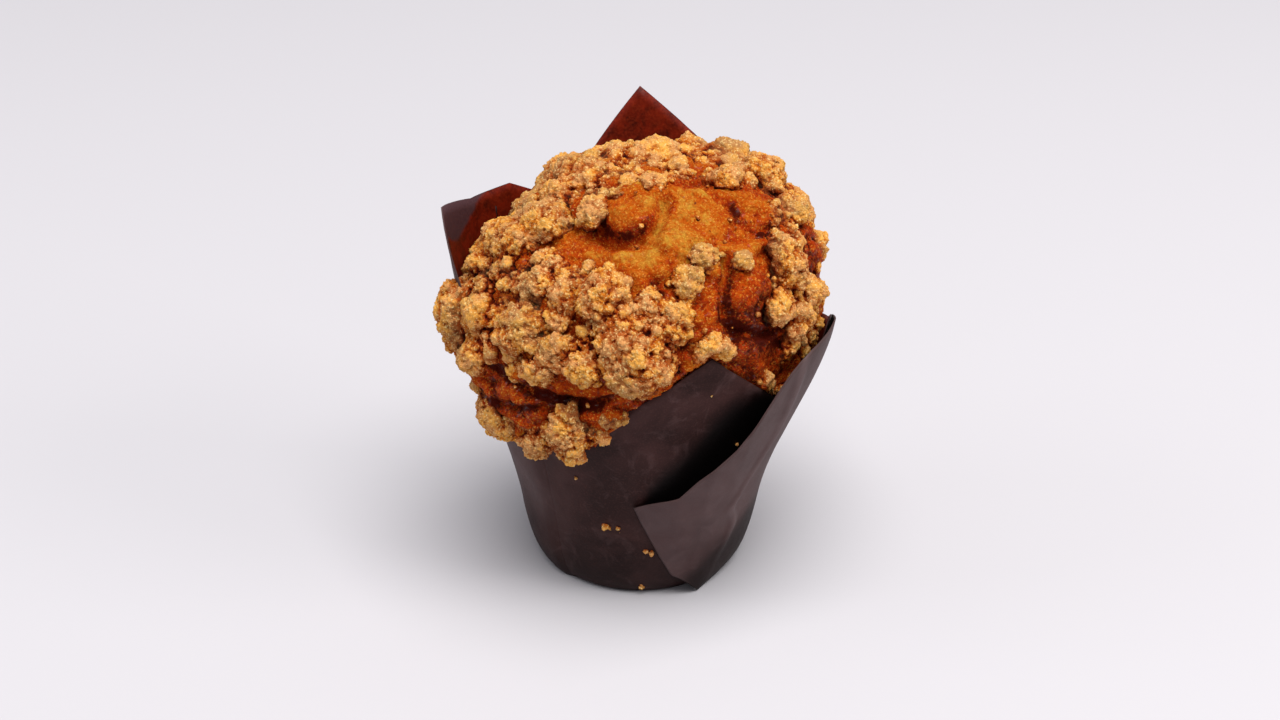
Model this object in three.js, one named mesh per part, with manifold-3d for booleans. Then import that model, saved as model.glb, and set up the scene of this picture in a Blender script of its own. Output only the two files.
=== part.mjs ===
// A crumb-topped muffin in a case folded from one square of baking paper.
// Millimetres, +Z up. The origin is the centre of the case's base, on the table.
// Azimuths are degrees from the front (-Y) towards +X.
import * as THREE from 'three';
import { mergeVertices } from 'three/addons/utils/BufferGeometryUtils.js';
import Module from 'manifold-3d';

const wasm = await Module();
wasm.setup();

// Paper case: the cup, its flare towards the four corners, and its free edge.
const PAPER = 0.5;
const CUP_BASE_RADIUS = 22.8;
const CUP_ROUNDING = 2.8;
const CUP_ROUNDING_HEIGHT = 4;
const CUP_SLOPE = 0.15;
const FLARE_START = 18;
const FLARE_END = 66;
const FLARE = [[20, 2.5], [92, 9.3], [135, 5], [180, 3], [225, 4], [268, 6], [315, 3]];
const EDGE_HEIGHT = [
  [24, 69.6], [30, 65.8], [54, 52.4], [66, 47], [78, 66.5], [84, 65], [90, 62],
  [102, 59], [114, 56.5], [132, 52], [156, 88], [180, 103], [198, 86], [210, 77],
  [228, 84], [246, 84.5], [270, 90], [318, 46], [336, 47], [348, 53.5], [354, 56.2],
  [366, 61.6], [372, 64.4], [378, 67.3],
];
const CASE_COLUMNS = 60;
const WALL_ROWS = [0, 0.04, 0.16, 0.36, 0.58, 0.8, 1];

// Muffin: the wall inside the paper, the rim where the dome starts, the widest belt and the crown.
const GAP = 0.32;
const WALL_GAP = 0.6;
const MUFFIN_BASE = 1.05;
const MUFFIN_HEEL = 1;
const RIM_HEIGHT = [
  [0, 54], [20, 58], [50, 50], [90, 56], [135, 50], [180, 56],
  [225, 56], [268, 56], [290, 47], [316, 42], [335, 44],
];
const BELT_RADIUS = [
  [0, 39.2], [20, 37.8], [50, 38.6], [90, 41.2], [135, 39.8], [180, 38.5],
  [225, 37.6], [268, 39.2], [290, 42.4], [310, 42], [335, 41],
];
const BELT_HEIGHT = [
  [0, 62], [20, 66], [50, 66], [90, 74], [135, 68], [180, 68],
  [225, 68], [268, 66], [285, 60], [310, 55], [335, 55],
];
const CROWN = { x: 4, y: 2, height: 98 };
const DOME_FULLNESS = 2.35;
const MUFFIN_COLUMNS = 60;
const SIDE_ROWS = 3;
const LIP_ROWS = 3;
const DOME_ROWS = 15;
const LIP_SPAN = 10;
const LIP_BEND_OUT = 0.8;
const LIP_BEND_UP = 0.15;
const SIDE_SPACING = 1.5;
const DOME_MIDDLE = 0.56;
const SWELL = { height: 0.6, alongX: 0.33, shiftX: 0.9, alongY: 0.29, shiftY: 2.1 };
const RIPPLE = { height: 0.5, alongZ: 0.52, leanY: 0.4, alongX: 0.47, shiftX: 1.7 };
const SPILL_FIRST = 275;
const SPILL_LAST = 355;

// Risen puffs (and, with a negative rise, cracks) in the crust: azimuth, latitude, rise, width.
const PUFFS = [
  [-12, 66, 4.2, 10], [-4, 52, -3, 4.5], [-30, 54, -2.6, 6], [10, 50, 1.5, 8],
  [64, 52, 3.4, 8], [38, 24, 3.4, 8], [38, 5, 2.4, 5.5], [46, 14, -2.2, 4],
  [24, 34, -1.2, 5], [-24, 3, -1.8, 6], [150, 40, 2.2, 10], [215, 35, 2, 11],
  [-106, 33, -4.5, 12],
];

// Crumbs that stand out one by one: azimuth, latitude, half width, half length, half rise, turn.
// Latitude is 90 on the crown, 0 on the belt and -10 on the rim.
const LARGE_CRUMBS = [
  [-2, 14, 8, 11.5, 4.6, 10], [-80, 4, 7.5, 12, 6.2, 0], [-16, 36, 6.5, 5.5, 3.6, 30],
  [-98, 68, 8.5, 5.5, 3.4, 20], [-170, 80, 8.5, 5.5, 3.4, 10], [104, 55, 6.5, 5, 4.4, 0],
  [-42, 22, 6.5, 5.5, 3.8, 40], [-60, 54, 7, 5, 3.6, 15], [-24, -2, 8, 4, 3.6, 80],
  [-58, -7, 8, 6, 4.4, 60], [62, 28, 4, 7.5, 3.6, 0], [-78, 38, 6, 5.5, 3.6, 10],
  [24, 6, 5.5, 4.5, 3.4, 20], [10, 22, 5, 5.5, 3.2, 0],
];
const MIDDLE_CRUMBS = [
  [24, 43, 4, 3.2, 2.6, 10], [16, 34, 4.4, 3.4, 2.8, 50], [74, 70, 4.5, 3.6, 2.8, 0],
  [-38, 63, 4.6, 3.6, 2.8, 20], [-64, 44, 5, 4, 3, 0], [38, 37, 2.4, 2.4, 2.4, 0],
  [54, 14, 4.5, 4, 3, 30], [74, 4, 4, 4, 3, 0], [-33, 12, 4.4, 3.8, 3, 15],
  [-28, 18, 4.8, 4.4, 3, 70], [96, 8, 4.5, 4.5, 3, 0], [-30, 34, 4.6, 4, 3, 0],
  [62, 0, 4, 4.5, 3, 10], [-42, 36, 5, 3.8, 3, 60], [6, 1, 4.5, 4, 3, 0],
  [-18, 14, 4, 4.6, 3, 20], [2, 30, 4, 3.6, 2.6, 0], [-62, 18, 5, 4.6, 3.4, 30],
  [-60, 6, 4.6, 5, 3.4, 0], [40, -4, 4, 3.4, 2.6, 0], [-8, 78, 4, 3, 2.2, 20],
  [84, 40, 4.4, 4, 3, 0], [-38, -6, 5, 3.6, 3, 70], [-76, 62, 5, 4, 3, 0],
];
// The rest of the topping, spread evenly over the sides and the back.
const SPREAD_CRUMBS = 28;
const SPREAD_FIRST = 104;
const SPREAD_LAST = 262;
const SPREAD_SMALLEST = 3;
const SPREAD_RANGE = 2.6;
const SPREAD_FLATNESS = 0.68;
const SPREAD_LOWEST = -0.14;
const SPREAD_HIGHEST = 0.96;
const GOLDEN_SHARE = 0.618034;
const CRUMB_KNOBS = 0.17;
const CRUMB_SEAT = 0.12;

const CRUST_COLOUR = '#b5702f';
const PAPER_COLOUR = '#43302d';

const RADIANS = Math.PI / 180;

// The same draw from 0 to 1 each time for a pair of whole numbers.
function draw(i, k) {
  const wave = Math.sin(i * 127.1 + k * 311.7) * 43758.5453;
  return wave - Math.floor(wave);
}

function smoothStep(low, high, value) {
  const share = Math.min(1, Math.max(0, (value - low) / (high - low)));
  return share * share * (3 - 2 * share);
}

// A value that runs round the muffin through its stations, straight or eased between them.
function around(stations, azimuth, eased = true) {
  const first = stations[0][0];
  const angle = ((((azimuth - first) % 360) + 360) % 360) + first;
  for (let i = 0; i < stations.length; i += 1) {
    const [start, from] = stations[i];
    const last = i === stations.length - 1;
    const end = last ? first + 360 : stations[i + 1][0];
    const to = last ? stations[0][1] : stations[i + 1][1];
    if (angle <= end) {
      const share = end > start ? (angle - start) / (end - start) : 0;
      const eased01 = eased ? (1 - Math.cos(Math.PI * share)) / 2 : share;
      return from + (to - from) * eased01;
    }
  }
  return stations[0][1];
}

function polar(azimuth, radius, z) {
  const angle = azimuth * RADIANS;
  return new THREE.Vector3(radius * Math.sin(angle), -radius * Math.cos(angle), z);
}

function paperInside(azimuth, z) {
  const rounding = CUP_ROUNDING * (1 - Math.exp(-Math.max(z, 0) / CUP_ROUNDING_HEIGHT));
  const flare = around(FLARE, azimuth) * smoothStep(FLARE_START, FLARE_END, z);
  return CUP_BASE_RADIUS + rounding + CUP_SLOPE * z + flare;
}

// The solid of a three.js geometry, for joining and cutting.
function solidOf(geometry) {
  const bare = geometry.clone();
  bare.deleteAttribute('normal');
  bare.deleteAttribute('uv');
  const merged = mergeVertices(bare, 1e-4);
  const index = merged.index.array;
  const corners = [];
  for (let i = 0; i < index.length; i += 3) {
    const [a, b, c] = [index[i], index[i + 1], index[i + 2]];
    if (a !== b && b !== c && c !== a) corners.push(a, b, c);
  }
  return new wasm.Manifold(new wasm.Mesh({
    numProp: 3,
    vertProperties: merged.attributes.position.array,
    triVerts: new Uint32Array(corners),
  }));
}

function geometryOf(solid) {
  const mesh = solid.getMesh();
  const geometry = new THREE.BufferGeometry();
  geometry.setAttribute('position', new THREE.BufferAttribute(mesh.vertProperties, 3));
  geometry.setIndex(new THREE.BufferAttribute(mesh.triVerts, 1));
  geometry.computeVertexNormals();
  return geometry;
}

// A turned body with each of its rings bent to a place of its own.
function bentLathe(rows, columns, place) {
  const profile = [];
  for (let row = 0; row < rows; row += 1) {
    const onAxis = row === 0 || row === rows - 1;
    profile.push(new THREE.Vector2(onAxis ? 0 : CUP_BASE_RADIUS, row));
  }
  const geometry = new THREE.LatheGeometry(profile, columns);
  const position = geometry.attributes.position;
  for (let i = 0; i < position.count; i += 1) {
    const column = Math.floor(i / rows) % columns;
    const point = place((column * 360) / columns, i % rows);
    position.setXYZ(i, point.x, point.y, point.z);
  }
  return geometry;
}

// The cup of the case with its walls grown by a margin on every side.
function cup(margin) {
  const rowsUp = WALL_ROWS.length;
  return bentLathe(2 * rowsUp + 2, CASE_COLUMNS, (azimuth, row) => {
    const outside = row <= rowsUp;
    if (row === 0) return new THREE.Vector3(0, 0, -margin);
    if (row === 2 * rowsUp + 1) return new THREE.Vector3(0, 0, PAPER + margin);
    const step = outside ? row - 1 : 2 * rowsUp - row;
    const top = around(EDGE_HEIGHT, azimuth, false) + margin;
    const bottom = outside ? -margin : PAPER + margin;
    const z = bottom + (top - bottom) * WALL_ROWS[step];
    const inside = paperInside(azimuth, z);
    return polar(azimuth, outside ? inside + PAPER + margin : inside - margin, z);
  });
}

// The pleats that take up the spare paper between the corners. Each flap runs from its fold line,
// given from the base to the tip, to the azimuth where it lies flat again. Its free edge and
// how far that stands off the cup go by azimuth, and how far the fold pokes out by height.
const FRONT_RIGHT_PLEAT = {
  foldLine: [30, 15, 9, 4.3, 0.2, -3],
  merge: 84,
  edge: [
    [-3, 28.5], [8, 32], [14, 33.6], [20, 38.6], [26, 42.4], [32, 45.6], [37, 50],
    [42, 55.3], [46, 59.2], [50, 62], [54, 64], [59, 65.4], [68, 66.2], [76, 67.2], [84, 65],
  ],
  standOff: [[-3, 1.5], [10, 3.6], [25, 6.2], [38, 5.6], [50, 3.6], [65, 2.2], [76, 1.4], [84, 0]],
  foldOff: [[0, 3.2], [0.14, 1.4], [0.35, 0.8], [1, 0.6]],
  layers: 0.8,
  columns: 14,
  rows: 6,
};
const FLAT_PLEATS = [
  { foldLine: [122, 114], merge: 150, edge: [[114, 46], [132, 50], [150, 76]] },
  { foldLine: [196, 206], merge: 236, edge: [[206, 66], [216, 73], [236, 80]] },
  { foldLine: [258, 250], merge: 318, edge: [[250, 40], [285, 39], [318, 40]] },
].map((pleat) => ({
  ...pleat,
  standOff: [[0, 0]],
  foldOff: [[0, 0]],
  layers: 2.2,
  columns: 8,
  rows: 5,
}));
const FLAP_LIFT = 0.15;
const FLAP_SUNK = 0.5;
const FLAP_LEAVES = 0.18;
const FLAP_SIDE_MARGIN = 1.5;
const FOLD_FADE = 4;

// A value from an open run of stations, straight between them.
function along(stations, at) {
  const last = stations.length - 1;
  if (at <= stations[0][0]) return stations[0][1];
  for (let i = 0; i < last; i += 1) {
    const [start, from] = stations[i];
    const [end, to] = stations[i + 1];
    if (at <= end) return from + ((to - from) * (at - start)) / (end - start);
  }
  return stations[last][1];
}

// One flap: a sheet that leaves the cup at its fold, stands off it along the free edge
// and comes back into it. A flat one only thickens the wall by the layers folded there.
function flap(pleat, margin) {
  const geometry = new THREE.BoxGeometry(1, 1, 1, pleat.columns, pleat.rows, 1);
  const position = geometry.attributes.position;
  const foldSteps = pleat.foldLine.length - 1;
  const fold = pleat.foldLine.map((azimuth, step) => [step / foldSteps, azimuth]);
  for (let i = 0; i < position.count; i += 1) {
    const share = position.getX(i) + 0.5;
    const height = position.getY(i) + 0.5;
    const outer = position.getZ(i) > 0;
    const from = along(fold, height) - FLAP_SIDE_MARGIN * margin;
    const azimuth = from + (pleat.merge + FLAP_SIDE_MARGIN * margin - from) * share;
    const top = along(pleat.edge, azimuth) + margin;
    const bottom = FLAP_LIFT - margin;
    const z = bottom + (top - bottom) * height;
    const leaving = smoothStep(-0.05, FLAP_LEAVES, share);
    const lifted = along(pleat.standOff, azimuth) * height * leaving
      + along(pleat.foldOff, height) * (1 - share) ** FOLD_FADE;
    const turned = share === 0 ? lifted : 0;
    const side = outer ? PAPER * pleat.layers + margin : -margin - PAPER * FLAP_SUNK - turned;
    const radius = paperInside(azimuth, z) + PAPER + lifted + side;
    const point = polar(azimuth, radius, z);
    position.setXYZ(i, point.x, point.y, point.z);
  }
  return geometry;
}

// The outer skin of a joined body, without loose scraps and with any pocket between layers filled.
function largestBody(solid) {
  const bodies = solid.decompose();
  return bodies.reduce((best, body) => (body.volume() > best.volume() ? body : best));
}

function caseSolid(margin) {
  let solid = solidOf(cup(margin));
  for (const pleat of [FRONT_RIGHT_PLEAT, ...FLAT_PLEATS]) {
    solid = solid.add(solidOf(flap(pleat, margin)));
  }
  return largestBody(solid);
}

// The smooth form of the muffin above its rim: latitude -10 to 0 is the lip, 0 to 90 the dome.
function smoothTop(azimuth, latitude) {
  const rim = around(RIM_HEIGHT, azimuth);
  const rimRadius = paperInside(azimuth, rim) - WALL_GAP;
  const beltRadius = around(BELT_RADIUS, azimuth);
  const beltHeight = around(BELT_HEIGHT, azimuth);
  if (latitude < 0) {
    const t = 1 + latitude / LIP_SPAN;
    const bendRadius = rimRadius + LIP_BEND_OUT * (beltRadius - rimRadius);
    const bendHeight = rim + LIP_BEND_UP * (beltHeight - rim);
    const mix = (a, b, c) => (1 - t) ** 2 * a + 2 * t * (1 - t) * b + t * t * c;
    return polar(
      azimuth,
      mix(rimRadius, bendRadius, beltRadius),
      mix(rim, bendHeight, beltHeight),
    );
  }
  const angle = Math.min(latitude, 90) * RADIANS;
  const out = Math.max(0, Math.cos(angle)) ** (2 / DOME_FULLNESS);
  const up = Math.sin(angle) ** (2 / DOME_FULLNESS);
  const lean = Math.sin(angle) ** 2;
  const point = polar(azimuth, beltRadius * out, beltHeight + (CROWN.height - beltHeight) * up);
  point.x += CROWN.x * lean;
  point.y += CROWN.y * lean;
  return point;
}

function outward(point) {
  return new THREE.Vector3(point.x, point.y, point.z - DOME_MIDDLE * CROWN.height).normalize();
}

const puffCentres = PUFFS.map(([azimuth, latitude]) => smoothTop(azimuth, latitude));

// How far the crust stands out at a place: the named puffs over a slow swell.
function crustRise(point) {
  const { x, y, z } = point;
  let rise = SWELL.height * Math.sin(SWELL.alongX * x + SWELL.shiftX)
    * Math.sin(SWELL.alongY * y + SWELL.shiftY);
  rise += RIPPLE.height * Math.sin(RIPPLE.alongZ * z + RIPPLE.leanY * y)
    * Math.sin(RIPPLE.alongX * x + RIPPLE.shiftX);
  PUFFS.forEach(([, , height, width], i) => {
    const away = point.distanceTo(puffCentres[i]) / width;
    rise += height * Math.exp(-away * away);
  });
  return rise;
}

// Where paper stands beside the dome it holds the crust in. At the front left the crust
// has risen over the edge and hangs outside the paper.
function heldByPaper(azimuth, point) {
  const spillsOver = azimuth > SPILL_FIRST && azimuth < SPILL_LAST;
  if (spillsOver || point.z > around(EDGE_HEIGHT, azimuth, false) + PAPER) return point;
  const radius = Math.hypot(point.x, point.y);
  const share = Math.min(1, (paperInside(azimuth, point.z) - WALL_GAP) / radius);
  return point.set(point.x * share, point.y * share, point.z);
}

function crustPoint(azimuth, latitude) {
  const point = smoothTop(azimuth, latitude);
  const share = smoothStep(-LIP_SPAN, 0, latitude);
  point.addScaledVector(outward(point), crustRise(point) * share);
  return heldByPaper(azimuth, point);
}

// Base, wall in the paper, lip and dome as one closed body.
function muffinBody() {
  const firstLip = 1 + SIDE_ROWS + 1;
  const firstDome = firstLip + LIP_ROWS;
  const rows = firstDome + DOME_ROWS;
  return bentLathe(rows, MUFFIN_COLUMNS, (azimuth, row) => {
    if (row === 0) return new THREE.Vector3(0, 0, MUFFIN_BASE);
    const wall = (z) => paperInside(azimuth, z) - WALL_GAP;
    if (row === 1) return polar(azimuth, wall(MUFFIN_BASE) - MUFFIN_HEEL, MUFFIN_BASE);
    if (row < firstLip) {
      const low = MUFFIN_BASE + MUFFIN_HEEL;
      const share = ((row - 2) / SIDE_ROWS) ** SIDE_SPACING;
      const z = low + (around(RIM_HEIGHT, azimuth) - low) * share;
      return polar(azimuth, wall(z), z);
    }
    if (row < firstDome) {
      return crustPoint(azimuth, LIP_SPAN * ((row - firstLip) / LIP_ROWS - 1));
    }
    return crustPoint(azimuth, (90 * (row - firstDome)) / (DOME_ROWS - 1));
  });
}

// One crumb: a knobbly pebble half sunk in the crust, cut from the shape it is given.
function crumb([azimuth, latitude, across, up, rise, turn], seed, geometry) {
  const step = 1.5;
  const centre = crustPoint(azimuth, latitude);
  const east = crustPoint(azimuth + step, latitude).sub(centre).normalize();
  const north = crustPoint(azimuth, latitude + step).sub(centre).normalize();
  const normal = east.clone().cross(north).normalize();
  const sideways = east.clone().applyAxisAngle(normal, turn * RADIANS);
  const lengthways = normal.clone().cross(sideways);
  const position = geometry.attributes.position;
  for (let i = 0; i < position.count; i += 1) {
    const from = new THREE.Vector3().fromBufferAttribute(position, i);
    const knobs = Math.sin(3.1 * from.x + seed) * Math.sin(2.7 * from.y + 1.3 * seed)
      + Math.sin(3.4 * from.z + 2.1 * seed) * Math.sin(2.9 * from.x - seed);
    const size = 1 + CRUMB_KNOBS * knobs;
    const point = centre.clone()
      .addScaledVector(sideways, from.x * across * size)
      .addScaledVector(lengthways, from.y * up * size)
      .addScaledVector(normal, (from.z * size + CRUMB_SEAT) * rise);
    position.setXYZ(i, point.x, point.y, point.z);
  }
  return geometry;
}

// The crumbs of the sides and the back, over even steps of azimuth and of height.
function spreadCrumb(i) {
  const share = (i + 0.5) / SPREAD_CRUMBS;
  const turnShare = (i * GOLDEN_SHARE) % 1;
  const azimuth = SPREAD_FIRST + (SPREAD_LAST - SPREAD_FIRST) * turnShare;
  const height = SPREAD_LOWEST + (SPREAD_HIGHEST - SPREAD_LOWEST) * share;
  const latitude = Math.asin(height) / RADIANS;
  const size = SPREAD_SMALLEST + SPREAD_RANGE * draw(i, 1);
  const length = size * (0.85 + 0.5 * draw(i, 2));
  return [azimuth, latitude, size, length, size * SPREAD_FLATNESS, 180 * draw(i, 3)];
}

function muffinSolid() {
  let solid = solidOf(muffinBody());
  let seed = 1;
  const place = (values, geometry) => {
    solid = solid.add(solidOf(crumb(values, seed, geometry)));
    seed += 1;
  };
  LARGE_CRUMBS.forEach((values) => place(values, new THREE.IcosahedronGeometry(1, 1)));
  MIDDLE_CRUMBS.forEach((values) => place(values, new THREE.DodecahedronGeometry(1, 0)));
  for (let i = 0; i < SPREAD_CRUMBS; i += 1) {
    place(spreadCrumb(i), new THREE.IcosahedronGeometry(1, 0));
  }
  return largestBody(solid.subtract(caseSolid(GAP)));
}

function named(name, solid, colour, roughness) {
  const material = new THREE.MeshStandardMaterial({ color: colour, roughness, metalness: 0 });
  const mesh = new THREE.Mesh(geometryOf(solid), material);
  mesh.name = name;
  return mesh;
}

const group = new THREE.Group();
group.add(named('muffin', muffinSolid(), CRUST_COLOUR, 0.8));
group.add(named('case', caseSolid(0), PAPER_COLOUR, 0.7));

export default group;
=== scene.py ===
import math

import bmesh
import bpy
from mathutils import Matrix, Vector, noise


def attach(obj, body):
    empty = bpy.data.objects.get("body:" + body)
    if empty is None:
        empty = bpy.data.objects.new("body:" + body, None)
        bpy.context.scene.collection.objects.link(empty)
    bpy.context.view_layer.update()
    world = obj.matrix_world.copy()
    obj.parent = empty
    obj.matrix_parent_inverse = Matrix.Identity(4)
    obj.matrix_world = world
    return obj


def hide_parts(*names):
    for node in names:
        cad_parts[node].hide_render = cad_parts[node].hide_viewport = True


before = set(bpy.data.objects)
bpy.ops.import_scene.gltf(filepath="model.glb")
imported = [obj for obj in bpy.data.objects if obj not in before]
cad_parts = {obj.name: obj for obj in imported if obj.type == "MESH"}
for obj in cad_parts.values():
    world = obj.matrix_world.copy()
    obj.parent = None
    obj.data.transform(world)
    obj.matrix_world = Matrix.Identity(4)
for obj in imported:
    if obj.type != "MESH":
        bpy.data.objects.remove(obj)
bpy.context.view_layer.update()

# Paper case. One square of dark brown baking parchment pressed round a cup, so that its four
# corners stand up as points. The spare paper between the corners lies in pleats, and the
# one at the front right stands open.

# Lengths are in millimetres and angles in degrees, and MM turns lengths into metres. Azimuth
# runs from the front towards the right. Lists of stations hold an azimuth and a value each.
MM = 0.001
SHEET = 0.3
CUP_BASE_RADIUS = 22.8
CUP_ROUNDING = 2.8
CUP_ROUNDING_HEIGHT = 4.0
CUP_SLOPE = 0.15
FLARE_START = 18.0
FLARE_END = 66.0
FLARE = [(20, 2.5), (92, 9.3), (135, 5), (180, 3), (225, 4), (268, 6), (315, 3)]
EDGE_HEIGHT = [
    (24, 69.6), (30, 65.8), (54, 52.4), (66, 47), (78, 66.5), (84, 65), (90, 62),
    (102, 59), (114, 56.5), (132, 52), (156, 88), (180, 103), (198, 86), (210, 77),
    (228, 84), (246, 84.5), (270, 90), (318, 46), (336, 47), (348, 53.5), (354, 56.2),
    (366, 61.6), (372, 64.4), (378, 67.3),
]
CASE_WALL = 0.5


def smooth_step(low, high, value):
    share = min(1.0, max(0.0, (value - low) / (high - low)))
    return share * share * (3 - 2 * share)


def around(stations, azimuth, eased=True):
    """A value that runs round the muffin, straight or eased between its stations."""
    first = stations[0][0]
    angle = (azimuth - first) % 360 + first
    closed = stations + [(first + 360, stations[0][1])]
    for (start, low), (end, high) in zip(closed, closed[1:]):
        if angle <= end:
            share = (angle - start) / (end - start)
            if eased:
                share = (1 - math.cos(math.pi * share)) / 2
            return low + (high - low) * share
    return closed[-1][1]


def along(stations, at):
    """A value from an open run of stations, straight between them."""
    if at <= stations[0][0]:
        return stations[0][1]
    for (start, low), (end, high) in zip(stations, stations[1:]):
        if at <= end:
            return low + (high - low) * (at - start) / (end - start)
    return stations[-1][1]


def polar(azimuth, radius, height):
    angle = math.radians(azimuth)
    return Vector((radius * math.sin(angle), -radius * math.cos(angle), height))


def azimuth_of(spot):
    """The azimuth of a place, from -180 to 180."""
    return math.degrees(math.atan2(spot.x, -spot.y))


def paper_inside(azimuth, height):
    """How far the inner face of the cup's wall stands from its middle line."""
    rounding = CUP_ROUNDING * (1 - math.exp(-max(height, 0) / CUP_ROUNDING_HEIGHT))
    flare = around(FLARE, azimuth) * smooth_step(FLARE_START, FLARE_END, height)
    return CUP_BASE_RADIUS + rounding + CUP_SLOPE * height + flare


def sheet_grid(columns, rows, place):
    """A sheet of paper: a flat grid whose points go where place(across, up) says, both 0 to 1."""
    sheet = bmesh.new()
    bmesh.ops.create_grid(sheet, x_segments=columns, y_segments=rows, size=0.5)
    for vertex in sheet.verts:
        vertex.co = place(vertex.co.x + 0.5, vertex.co.y + 0.5) * MM
    return sheet


def as_object(name, shape):
    """Puts a bmesh into the scene as a smooth-shaded object, and frees it."""
    mesh = bpy.data.meshes.new(name)
    shape.to_mesh(mesh)
    shape.free()
    made = bpy.data.objects.new(name, mesh)
    bpy.context.scene.collection.objects.link(made)
    for face in mesh.polygons:
        face.use_smooth = True
    return made


CUP_COLUMNS = 180
CUP_ROWS = 44
BASE_ROWS = 6
BASE_OVERLAP = 0.1
ROW_SPREAD = 1.1
WELD = 0.02
# The crumple: waves in a millimetre and height of each. The creases: azimuth, depth and width.
WRINKLE_RADIUS = 30
WRINKLES = [(0.11, 0.16), (0.31, 0.08)]
CREASES = [(-66, 0.5, 5), (-38, -0.35, 6), (12, 0.3, 7), (150, 0.5, 6), (206, -0.4, 7), (246, 0.5, 8)]
CREASE_START, CREASE_FULL = 4, 40
FLAT_FOOT = 12


def wrinkle(azimuth, height):
    """How far the paper stands off its smooth form: long upright creases and a slight crumple."""
    spot = polar(azimuth, WRINKLE_RADIUS, height)
    rise = sum(tall * noise.noise(spot * waves) for waves, tall in WRINKLES)
    for centre, depth, width in CREASES:
        away = (azimuth - centre + 180) % 360 - 180
        crease = depth * math.exp(-((away / width) ** 2))
        rise += crease * smooth_step(CREASE_START, CREASE_FULL, height)
    return rise * smooth_step(0, FLAT_FOOT, height)


def cup_point(across, up):
    """A point of the cup: the first rows are its base, the others climb its wall to the edge."""
    azimuth = 360 * across
    row = up * CUP_ROWS
    if row <= BASE_ROWS:
        return polar(azimuth, (CUP_BASE_RADIUS + BASE_OVERLAP) * row / BASE_ROWS, 0.5 * SHEET)
    share = (row - BASE_ROWS) / (CUP_ROWS - BASE_ROWS)
    edge = around(EDGE_HEIGHT, azimuth, False)
    height = 0.5 * SHEET + (edge - 0.5 * SHEET) * share**ROW_SPREAD
    middle = paper_inside(azimuth, height) + CASE_WALL - 0.5 * SHEET
    return polar(azimuth, middle + wrinkle(azimuth, height), height)


cup = sheet_grid(CUP_COLUMNS, CUP_ROWS, cup_point)
bmesh.ops.remove_doubles(cup, verts=cup.verts, dist=WELD * MM)

# The open pleat: from its valley under the flap the paper runs left to the fold line, turns
# there and comes back to the right as the flap, off the cup and flat again near the corner.
# The fold line gives an azimuth and the fold's stand-off a length, both by share of the height.
FOLD_LINE = [(0, 30), (0.2, 15), (0.4, 9), (0.6, 4.3), (0.8, 0.2), (1, -3)]
FLAP_EDGE = [
    (-3, 28.5), (8, 32), (14, 33.6), (20, 38.6), (26, 42.4), (32, 45.6), (37, 50),
    (42, 55.3), (46, 59.2), (50, 62), (54, 64), (59, 65.4), (68, 66.2), (76, 67.2), (84, 65),
]
FLAP_MERGE = 84.0
FLAP_STAND_OFF = [(-3, 1.5), (10, 3.6), (25, 6.2), (38, 5.6), (50, 3.6), (65, 2.2), (76, 1.4), (84, 0)]
FLAP_FOLD_OFF = [(0, 3.2), (0.14, 1.4), (0.35, 0.8), (1, 0.6)]
FLAP_LEAVES = 0.18
FLAP_CREASE = [(4, 38), (10, 40), (14, 43), (18, 46), (21, 44), (24.5, 40), (28, 43), (34, 50), (42, 56)]
FLAP_COLUMNS = 110
FLAP_ROWS = 40
TURN_SHARE = 0.22
UNDER_REACH = 30.0
UNDER_DROP = 0.3
UNDER_DEPTH = 0.9
UNDER_TURN = 5
UNDER_LIFT = 0.35
PLEAT_FOOT = 0.3
FLAP_OFF_CUP = 0.6
CREASE_RISE = 0.7
CREASE_WIDTH = 2.4
CREASE_TOP = 0.12


def flap_point(across, up):
    """A point of the open pleat: across runs left under the flap, turns, and runs back right."""
    fold = along(FOLD_LINE, up)
    if across < TURN_SHARE:
        share = 1 - across / TURN_SHARE
        azimuth = fold + UNDER_REACH * share
        reach = share * UNDER_REACH / (FLAP_MERGE - fold)
        layer = -UNDER_DEPTH * min(1.0, UNDER_TURN * share)
    else:
        reach = (across - TURN_SHARE) / (1 - TURN_SHARE)
        azimuth = fold + (FLAP_MERGE - fold) * reach
        layer = 0.0
    height = PLEAT_FOOT + (along(FLAP_EDGE, azimuth) - PLEAT_FOOT) * up
    if layer < 0:
        height *= 1 - UNDER_DROP * (1 - across / TURN_SHARE)
    lifted = along(FLAP_STAND_OFF, azimuth) * up * smooth_step(-0.05, FLAP_LEAVES, reach)
    lifted += along(FLAP_FOLD_OFF, up) * (1 - reach) ** 4
    if layer < 0:
        lifted *= UNDER_LIFT
    middle = paper_inside(azimuth, height) + CASE_WALL + FLAP_OFF_CUP * SHEET + lifted + layer
    from_crease = (azimuth - along(FLAP_CREASE, height)) / CREASE_WIDTH
    crease = CREASE_RISE * math.exp(-(from_crease**2))
    crease *= smooth_step(0, 20, height) * smooth_step(0, CREASE_TOP, 1 - up)
    return polar(azimuth, middle + crease + 0.5 * wrinkle(azimuth, height), height)


flap = sheet_grid(FLAP_COLUMNS, FLAP_ROWS, flap_point)

# The closed pleats, each a folded strip that lies against the cup: its fold line, the azimuth
# where it meets the cup again, and the height of its upper edge.
CLOSED_PLEATS = [
    ([(0, 122), (1, 114)], 150, [(114, 46), (132, 50), (150, 76)]),
    ([(0, 196), (1, 206)], 236, [(206, 66), (216, 73), (236, 80)]),
    ([(0, 258), (1, 250)], 318, [(250, 40), (285, 39), (318, 40)]),
]
PLEAT_LIFT = 0.8
PLEAT_SINK = 0.32
PLEAT_FOLD_RISE = 0.25
PLEAT_MERGE_SHARE = 0.12
PLEAT_CELLS = 30


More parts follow.
